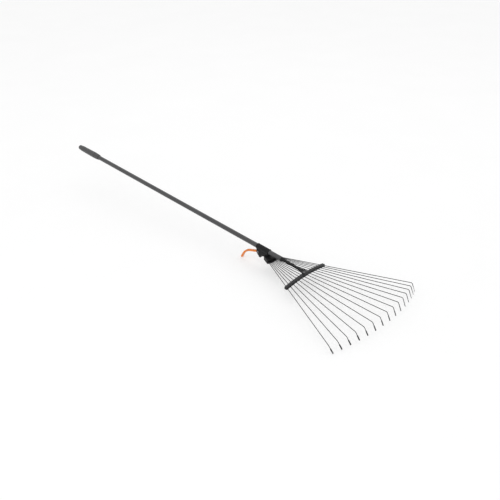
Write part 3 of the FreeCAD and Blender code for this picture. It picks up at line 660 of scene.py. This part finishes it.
def solid_boxes(node: str) -> list[tuple[Vector, Vector]]:
    """Boxes of the separate solids in one CAD node.

    Args:
        node: Name of the node.

    Returns:
        Lowest and highest corner of each solid.
    """
    mesh = bmesh.new()
    mesh.from_mesh(frame["nodes"][node].data)
    bmesh.ops.remove_doubles(mesh, verts=mesh.verts, dist=WELD_DISTANCE)
    left = set(mesh.verts)
    boxes = []
    while left:
        stack = [left.pop()]
        points = []
        while stack:
            vert = stack.pop()
            points.append(vert.co.copy())
            for edge in vert.link_edges:
                other = edge.other_vert(vert)
                if other in left:
                    left.remove(other)
                    stack.append(other)
        low = Vector([min(p[k] for p in points) for k in range(3)])
        high = Vector([max(p[k] for p in points) for k in range(3)])
        boxes.append((low, high))
    mesh.free()
    return sorted(boxes, key=lambda pair: (round(pair[0].y, 4), pair[0].x))


def joint(name: str) -> dict:
    """Find a joint of the frame.

    Args:
        name: Name of the joint.

    Returns:
        The joint's entry.
    """
    return next(j for j in frame["joints"] if j["name"] == name)


class TubeLine:
    """The tube's axis and radius, from the tube's own mesh and the slider's direction."""

    def __init__(self) -> None:
        """Read the axis from the frame."""
        self.ahead = -Vector(joint("slider_travel")["axis"]).normalized()
        self.up = Vector((-self.ahead.z, 0.0, self.ahead.x))
        low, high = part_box("handle_tube")
        self.middle = (low + high) / 2
        self.radius = max(radius for _, radius in self.polar("handle_tube"))

    def polar(self, node: str) -> list[tuple[float, float]]:
        """Distance along the axis and distance from it, for each vertex of a node.

        Args:
            node: Name of the CAD node.

        Returns:
            A pair in metres for each vertex.
        """
        pairs = []
        for vertex in frame["nodes"][node].data.vertices:
            offset = Vector(vertex.co) - self.middle
            along = offset.dot(self.ahead)
            pairs.append((along, (offset - self.ahead * along).length))
        return pairs

    def ring(self, along: float, radius: float, count: int = 64) -> list[Vector]:
        """A ring of points square to the axis.

        Args:
            along: Distance ahead of the tube's middle.
            radius: Radius of the ring.
            count: Number of points.

        Returns:
            The points.
        """
        centre = self.middle + self.ahead * along
        return [
            centre + (SIDE * math.cos(turn) + self.up * math.sin(turn)) * radius
            for turn in full_turn(count)
        ]


# ------------------------------------------------------------------ fasteners


@dataclass
class HeadedFastener:
    """Pan-head screw or bolt on a vertical axis, with a drive recess.

    Shares are of the head's height, the head's radius or the shank's radius.
    """

    head_height: float
    shank_radius: float
    drive: Drive
    head_up: bool
    facets: int = 40
    dome_steps: int = 7
    dome_share: float = 0.78
    pitch_share: float = 0.45
    root_share: float = 0.93
    point_share: float = 0.8
    recess_share: float = 0.62
    recess_mouth: float = 0.6 * MM
    hex_share: float = 0.5
    arm_share: float = 0.56
    arm_half_share: float = 0.14
    cross_taper: tuple[float, float] = (1.15, 0.55)
    first_turn: float = 0.4
    turn_between: float = 0.9

    def profile(self, head_radius: float, length: float) -> list[tuple[float, float]]:
        """Half section from the head's crown to the shank's end, as radius and depth.

        Args:
            head_radius: Radius of the head.
            length: Whole length, head included.

        Returns:
            Radius and depth below the crown for each ring.
        """
        rim = self.head_height
        quarter = [math.pi / 2 * i / self.dome_steps for i in range(1, self.dome_steps + 1)]
        dome = [
            (head_radius * math.sin(turn), rim * self.dome_share * (1 - math.cos(turn)))
            for turn in quarter
        ]
        pitch = self.shank_radius * self.pitch_share
        thread = []
        depth = rim + pitch
        while depth + pitch < length:
            thread.append((self.shank_radius, depth))
            thread.append((self.shank_radius * self.root_share, depth + pitch / 2))
            depth += pitch
        tail = [
            (self.shank_radius, length - pitch / 2),
            (self.shank_radius * self.point_share, length),
        ]
        return [*dome, (head_radius, rim), (self.shank_radius, rim), *thread, *tail]

    def recess_outline(self, head_radius: float) -> list[Vector]:
        """Outline of the drive recess, seen from above the head.

        Args:
            head_radius: Radius of the head.

        Returns:
            The corners in order, around the origin.
        """
        if self.drive is Drive.HEX:
            reach = head_radius * self.hex_share
            return [Vector((math.cos(t), math.sin(t))) * reach for t in full_turn(6)]
        arm, half = head_radius * self.arm_share, head_radius * self.arm_half_share
        corners = []
        for turn in full_turn(4):
            spin = Matrix.Rotation(turn, 2)
            corners += [spin @ Vector(spot) for spot in ((arm, -half), (arm, half), (half, half))]
        return corners

    def recess(self, head_radius: float) -> bpy.types.Object:
        """Cutter for the drive recess, with its mouth above the crown at the origin.

        Args:
            head_radius: Radius of the head.

        Returns:
            The cutter.
        """
        mouth, floor = (1.0, 1.0) if self.drive is Drive.HEX else self.cross_taper
        levels = ((self.recess_mouth, mouth), (-self.head_height * self.recess_share, floor))
        outline = self.recess_outline(head_radius)
        mesh = bmesh.new()
        rings = [[Vector((*spot * grow, z)) for spot in outline] for z, grow in levels]
        skin(mesh, rings)
        return new_object("drive_cutter", mesh)

    def make_master(self, head_radius: float, length: float) -> bpy.types.Object:
        """One fastener with its crown at the origin and its shank down.

        Args:
            head_radius: Radius of the head.
            length: Whole length, head included.

        Returns:
            The fastener.
        """
        turns = full_turn(self.facets)
        mesh = bmesh.new()
        rings = [
            [Vector((radius * math.cos(t), radius * math.sin(t), -depth)) for t in turns]
            for radius, depth in self.profile(head_radius, length)
        ]
        skin(mesh, rings)
        master = new_object("fastener_master", mesh)
        carve(master, self.recess(head_radius))
        return master

    def build_all(self, name: str, node: str) -> bpy.types.Object:
        """One object with a fastener in the place of each solid of a node.

        Args:
            name: Name of the piece.
            node: CAD node that it stands for.

        Returns:
            The piece.
        """
        boxes = solid_boxes(node)
        low, high = boxes[0]
        master = self.make_master((high.x - low.x) / 2, high.z - low.z)
        flip = Matrix.Identity(4) if self.head_up else Matrix.Rotation(math.pi, 4, "X")
        joined = bmesh.new()
        for index, (low, high) in enumerate(boxes):
            middle = (low + high) / 2
            crown = Vector((middle.x, middle.y, high.z if self.head_up else low.z))
            spin = Matrix.Rotation(self.first_turn + self.turn_between * index, 4, "Z")
            before = len(joined.verts)
            joined.from_mesh(master.data)
            joined.verts.ensure_lookup_table()
            place = Matrix.Translation(crown) @ flip @ spin
            bmesh.ops.transform(joined, matrix=place, verts=joined.verts[before:])
        bpy.data.objects.remove(master)
        return new_object(name, joined, smooth_angle=30.0)


def plate_screw() -> HeadedFastener:
    """The small cross-head screw that goes in from below.

    Returns:
        The screw's kind.
    """
    return HeadedFastener(1.8 * MM, 1.5 * MM, Drive.CROSS, head_up=False)


# ------------------------------------------------------------------ sub-assemblies


def smooth_step(value: float, start: float, end: float) -> float:
    """Rise from 0 to 1 with level ends.

    Args:
        value: Where the rise is read.
        start: Value that gives 0.
        end: Value that gives 1.

    Returns:
        The share of the rise.
    """
    share = min(1.0, max(0.0, (value - start) / (end - start)))
    return share * share * (3 - 2 * share)


@dataclass
class Handle:
    """Coated tube with its neck and its soft grip."""

    shop: Paintshop
    line: TubeLine
    wall_gap: float = 0.15 * MM
    mouth_depth: float = 4 * MM
    closed_end: float = 8 * MM
    flutes: int = 12
    flute_depth: float = 0.5 * MM
    flute_start: float = 28 * MM
    flute_end: float = 36 * MM
    flute_fade: float = 8 * MM
    hole_setback: float = 11 * MM
    hole_radius: float = 3.5 * MM
    hole_facets: int = 40
    hole_flare: float = 1.5
    hole_straight: float = 0.88
    hole_reach: float = 1.15
    ring_count: int = 144
    ring_step: float = 1.2 * MM

    def outline(self) -> list[tuple[float, float]]:
        """Outer radius of the grip along the tube.

        Returns:
            Distance along the tube's axis and radius, in order from the closed end.
        """
        widest: dict[float, float] = {}
        for along, radius in self.line.polar("grip"):
            key = round(along, 4)
            widest[key] = max(radius, widest.get(key, 0.0))
        solid_until = min(widest) + self.closed_end
        least = self.line.radius + 2 * self.wall_gap
        return sorted((a, r) for a, r in widest.items() if r > least or a < solid_until)

    def radius_at(self, along: float, outline: list[tuple[float, float]]) -> float:
        """Radius of the outline at a distance along the axis.

        Args:
            along: The distance.
            outline: Pairs from outline().

        Returns:
            The radius in metres.
        """
        for (near, low), (far, high) in zip(outline, outline[1:]):
            if near <= along <= far:
                return low + (high - low) * (along - near) / (far - near)
        return outline[-1][1]

    def fluted_ring(self, along: float, radius: float, share: float) -> list[Vector]:
        """Ring of the grip's skin, sunk at the flutes.

        Args:
            along: Distance ahead of the tube's middle.
            radius: Radius between the flutes.
            share: Share of the flutes' full depth.

        Returns:
            The points.
        """
        axis = self.line.middle + self.line.ahead * along
        ring = self.line.ring(along, radius, self.ring_count)
        for k, point in enumerate(ring):
            wave = 0.5 - 0.5 * math.cos(2 * math.pi * self.flutes * k / self.ring_count)
            dip = self.flute_depth * share * wave * wave
            ring[k] = point + (axis - point).normalized() * dip
        return ring

    def make_grip(self) -> bpy.types.Object:
        """Fluted grip with its domed end, groove, collar and hang hole.

        Returns:
            The grip.
        """
        line = self.line
        outline = self.outline()
        start, end = outline[0][0], outline[-1][0]
        steps = int((end - start) / self.ring_step)
        stations = {start + (end - start) * i / steps for i in range(1, steps)}
        stations |= {along for along, _ in outline}
        rings = []
        for along in sorted(stations):
            share = smooth_step(along - start, self.flute_start, self.flute_start + self.flute_fade)
            share *= smooth_step(end - along, self.flute_end, self.flute_end + self.flute_fade)
            rings.append(self.fluted_ring(along, self.radius_at(along, outline), share))
        bore = line.radius + self.wall_gap
        for along in (end, end - self.mouth_depth):
            rings.append(line.ring(along, bore, self.ring_count))
        mesh = bmesh.new()
        skin(mesh, rings)
        grip = new_object("grip_sleeve", mesh, smooth_angle=40.0)
        carve(grip, self.hole_cutter(start + self.hole_setback, outline))
        return grip

    def hole_cutter(self, along: float, outline: list[tuple[float, float]]) -> bpy.types.Object:
        """Cutter for the hang hole, flared at both mouths.

        Args:
            along: The hole's place along the axis.
            outline: Pairs from outline().

        Returns:
            The cutter.
        """
        line = self.line
        centre = line.middle + line.ahead * along
        rise = line.up * self.radius_at(along, outline)
        turns = full_turn(self.hole_facets)
        spokes = [(line.ahead * math.cos(t) + SIDE * math.sin(t)) * self.hole_radius for t in turns]
        rings = []
        for level, grow in (
            (-self.hole_reach, self.hole_flare),
            (-self.hole_straight, 1.0),
            (self.hole_straight, 1.0),
            (self.hole_reach, self.hole_flare),
        ):
            rings.append([centre + rise * level + spoke * grow for spoke in spokes])
        mesh = bmesh.new()
        skin(mesh, rings)
        return new_object("hole_cutter", mesh)

    def build(self) -> None:
        """Dress the tube and neck and put the detailed grip in the grip's place."""
        self.shop.dress("handle_tube")
        self.shop.dress("neck")
        self.shop.swap_in(self.make_grip(), "grip", Body.HANDLE)


@dataclass
class Crossbar:
    """Arched bar with its bolts, nuts and screws."""

    shop: Paintshop

    def build(self) -> None:
        """Dress the bar and replace its plain fasteners with detailed ones."""
        for node in ("crossbar_comb", "crossbar_cover", "neck_nuts"):
            self.shop.dress(node)
        bolts = HeadedFastener(2.4 * MM, 2.0 * MM, Drive.HEX, head_up=True)
        self.shop.swap_in(bolts.build_all("neck_bolt_set", "neck_bolts"), "neck_bolts", Body.HANDLE)
        screws = plate_screw().build_all("bar_screw_set", "bar_screws")
        self.shop.swap_in(screws, "bar_screws", Body.HANDLE)


@dataclass
class Slider:
    """Sleeve, bracket and tine holder."""

    shop: Paintshop
    line: TubeLine
    rim_width: float = 2.4 * MM
    rim_rise: float = 0.7 * MM
    rim_setback: float = 0.2 * MM
    rim_roundness: float = 0.6
    rim_steps: int = 8
    sunk: float = 0.05 * MM

    def make_rims(self) -> bpy.types.Object:
        """Raised rims at both ends of the sleeve.

        Returns:
            The rims.
        """
        line = self.line
        offsets = [v.co - line.middle for v in frame["nodes"]["slider_shell"].data.vertices]
        crown = [(offset.dot(line.ahead), offset.dot(line.up)) for offset in offsets]
        outer = max(height for _, height in crown)
        ends = [along for along, height in crown if height > outer - 2 * self.sunk]
        mesh = bmesh.new()
        for along, way in ((max(ends), -1), (min(ends), 1)):
            rings = []
            for i in range(self.rim_steps + 1):
                share = i / self.rim_steps
                bulge = math.sin(math.pi * share) ** self.rim_roundness
                rise = self.rim_rise * bulge - self.sunk
                spot = along + way * (self.rim_setback + self.rim_width * share)
                rings.append(line.ring(spot, outer + rise))
            skin(mesh, rings, close_ends=False)
        return new_object("sleeve_rims", mesh, smooth_angle=60.0)

    def build(self) -> None:
        """Dress the slider's nodes and add its rims and detailed screws."""
        for node in ("slider_shell", "tine_plate", "lever_pin", "pin_clip", "brake_shoe"):
            self.shop.dress(node)
        self.shop.add_piece(self.make_rims(), Body.SLIDER, "black_plastic")
        screws = plate_screw().build_all("holder_screw_set", "holder_screws")
        self.shop.swap_in(screws, "holder_screws", Body.SLIDER)


@dataclass
class CamLever:
    """Orange lever with thumb ridges on its upper face."""

    shop: Paintshop
    ridges: int = 7
    ridge_pitch: float = 3.2 * MM
    ridge_half: float = 0.9 * MM
    ridge_rise: float = 0.6 * MM
    first_ridge: float = 44 * MM
    side_margin: float = 2.4 * MM
    root: float = 0.4 * MM
    end_share: float = 0.3
    arc_steps: int = 12

    def ridge_section(self, up: Vector) -> list[Vector]:
        """Section of a ridge: a low arc on a root sunk into the lever.

        Args:
            up: Normal of the lever's face.

        Returns:
            The section's points around the ridge's foot.
        """
        way = Vector((up.z, 0.0, -up.x))
        section = []
        for step in range(self.arc_steps + 1):
            turn = math.pi * step / self.arc_steps
            section.append(
                way * math.cos(turn) * self.ridge_half + up * math.sin(turn) * self.ridge_rise
            )
        return section + [way * side * self.ridge_half - up * self.root for side in (-1, 1)]

    def make_ridges(self) -> bpy.types.Object:
        """Low rounded ridges across the arm, standing on its upper face.

        Returns:
            The ridges.
        """
        data = frame["nodes"]["cam_lever"].data
        tree = BVHTree.FromPolygons(
            [vertex.co for vertex in data.vertices], [face.vertices for face in data.polygons]
        )
        low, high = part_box("cam_lever")
        pin = Vector(joint("lever_swing")["pos_m"])
        half = (high.y - low.y) / 2 - self.side_margin
        mesh = bmesh.new()
        ends = (
            (-half - self.root, self.end_share),
            (-half, 1.0),
            (half, 1.0),
            (half + self.root, self.end_share),
        )
        for index in range(self.ridges):
            x = pin.x - self.first_ridge - index * self.ridge_pitch
            spot, up, _, _ = tree.ray_cast(Vector((x, 0.0, high.z)) - DOWN * 10 * MM, DOWN)
            section = self.ridge_section(Vector((up.x, 0.0, up.z)).normalized())
            rings = [[spot + SIDE * y + offset * grow for offset in section] for y, grow in ends]
            skin(mesh, rings)
        return new_object("lever_ridges", mesh, smooth_angle=50.0)

    def build(self) -> None:
        """Dress the lever and add its ridges."""
        self.shop.dress("cam_lever")
        self.shop.add_piece(self.make_ridges(), Body.LEVER, "orange_plastic")


@dataclass
class TineFan:
    """The spring wire tines."""

    shop: Paintshop

    def build(self) -> None:
        """Dress every tine."""
        for node in sorted(frame["nodes"]):
            if node.startswith("tine_") and node[5:].isdigit():
                self.shop.dress(node)


# ------------------------------------------------------------------ studio


@dataclass(frozen=True)
class Softbox:
    """Square area light: its place and side in metres and its power in watts."""

    name: str
    place: tuple[float, float, float]
    size: float
    power: float


SOFTBOXES = (
    Softbox("key_light", (1.2, -2.2, 3.0), 2.4, 13.0),
    Softbox("top_light", (-0.6, 1.4, 3.2), 3.0, 8.0),
)


@dataclass
class Studio:
    """Pale floor, soft lights and the camera."""

    azimuth: float = 42.94
    elevation: float = 29.97
    distance: float = 2.714
    lens: float = 48.75
    aim: tuple[float, float, float] = (0.1635, 0.0708, -0.1032)
    sensor: float = 36.0
    sight: float = 100.0
    floor_size: float = 40.0
    floor_gap: float = 0.2 * MM
    floor_shade: float = 0.6
    floor_mottle: float = 0.005
    floor_glow: float = 0.34
    lit_spot: tuple[float, float, float] = (0.1, 0.0, 0.05)

    def make_floor(self) -> None:
        """Plain pale floor under the rake."""
        graph = Graph("studio_floor", (self.floor_shade,) * 3, 0.9)
        mottle = graph.spread(graph.noise(3.0, 3.0))
        dark = (self.floor_shade - self.floor_mottle,) * 3
        pale = (self.floor_shade + self.floor_mottle,) * 3
        graph.colour(graph.tint(mottle, dark, pale))
        graph.fix(specular_ior_level=0.1, emission_strength=self.floor_glow)
        graph.shader.inputs["Emission Color"].default_value = (1.0, 1.0, 1.0, 1.0)
        mesh = bmesh.new()
        half = self.floor_size / 2
        low = CAD_BOUNDS[0][2] - self.floor_gap
        corners = ((-half, -half), (half, -half), (half, half), (-half, half))
        mesh.faces.new([mesh.verts.new((x, y, low)) for x, y in corners])
        floor = new_object("studio_floor", mesh)
        floor.data.materials.append(graph.material)

    def make_light(self, box: Softbox) -> None:
        """Hang a softbox that faces the rake.

        Args:
            box: The softbox.
        """
        data = bpy.data.lights.new(box.name, "AREA")
        data.shape = "SQUARE"
        data.size = box.size
        data.energy = box.power
        light = bpy.data.objects.new(box.name, data)
        light.location = box.place
        look = Vector(self.lit_spot) - light.location
        light.rotation_euler = look.to_track_quat("-Z", "Y").to_euler()
        bpy.context.scene.collection.objects.link(light)

    def make_world(self) -> None:
        """Even white surroundings."""
        world = bpy.data.worlds.new("studio_world")
        world.use_nodes = True
        background = world.node_tree.nodes["Background"]
        background.inputs["Color"].default_value = (1.0, 1.0, 1.0, 1.0)
        background.inputs["Strength"].default_value = 1.0
        bpy.context.scene.world = world

    def make_camera(self) -> None:
        """Camera at its angle around the rake's middle."""
        low, high = Vector(CAD_BOUNDS[0]), Vector(CAD_BOUNDS[1])
        target = (low + high) / 2 + Vector(self.aim)
        around, above = math.radians(self.azimuth), math.radians(self.elevation)
        flat = Vector((math.sin(around), -math.cos(around), 0.0))
        way = flat * math.cos(above) - DOWN * math.sin(above)
        data = bpy.data.cameras.new("camera")
        data.lens = self.lens
        data.sensor_width = self.sensor
        data.clip_end = self.sight
        camera = bpy.data.objects.new("camera", data)
        camera.location = target + way * self.distance
        camera.rotation_euler = (-way).to_track_quat("-Z", "Y").to_euler()
        bpy.context.scene.collection.objects.link(camera)
        bpy.context.scene.camera = camera

    def build(self) -> None:
        """Set up the studio."""
        bpy.context.scene.view_settings.view_transform = "Standard"
        self.make_world()
        self.make_floor()
        for box in SOFTBOXES:
            self.make_light(box)
        self.make_camera()


def main() -> None:
    """Build every part of the picture in order."""
    logging.basicConfig(level=logging.INFO, format="%(name)s: %(message)s")
    shop = Paintshop()
    line = TubeLine()
    Studio().build()
    Handle(shop, line).build()
    Crossbar(shop).build()
    Slider(shop, line).build()
    CamLever(shop).build()
    TineFan(shop).build()


if __name__ == "__main__":
    main()
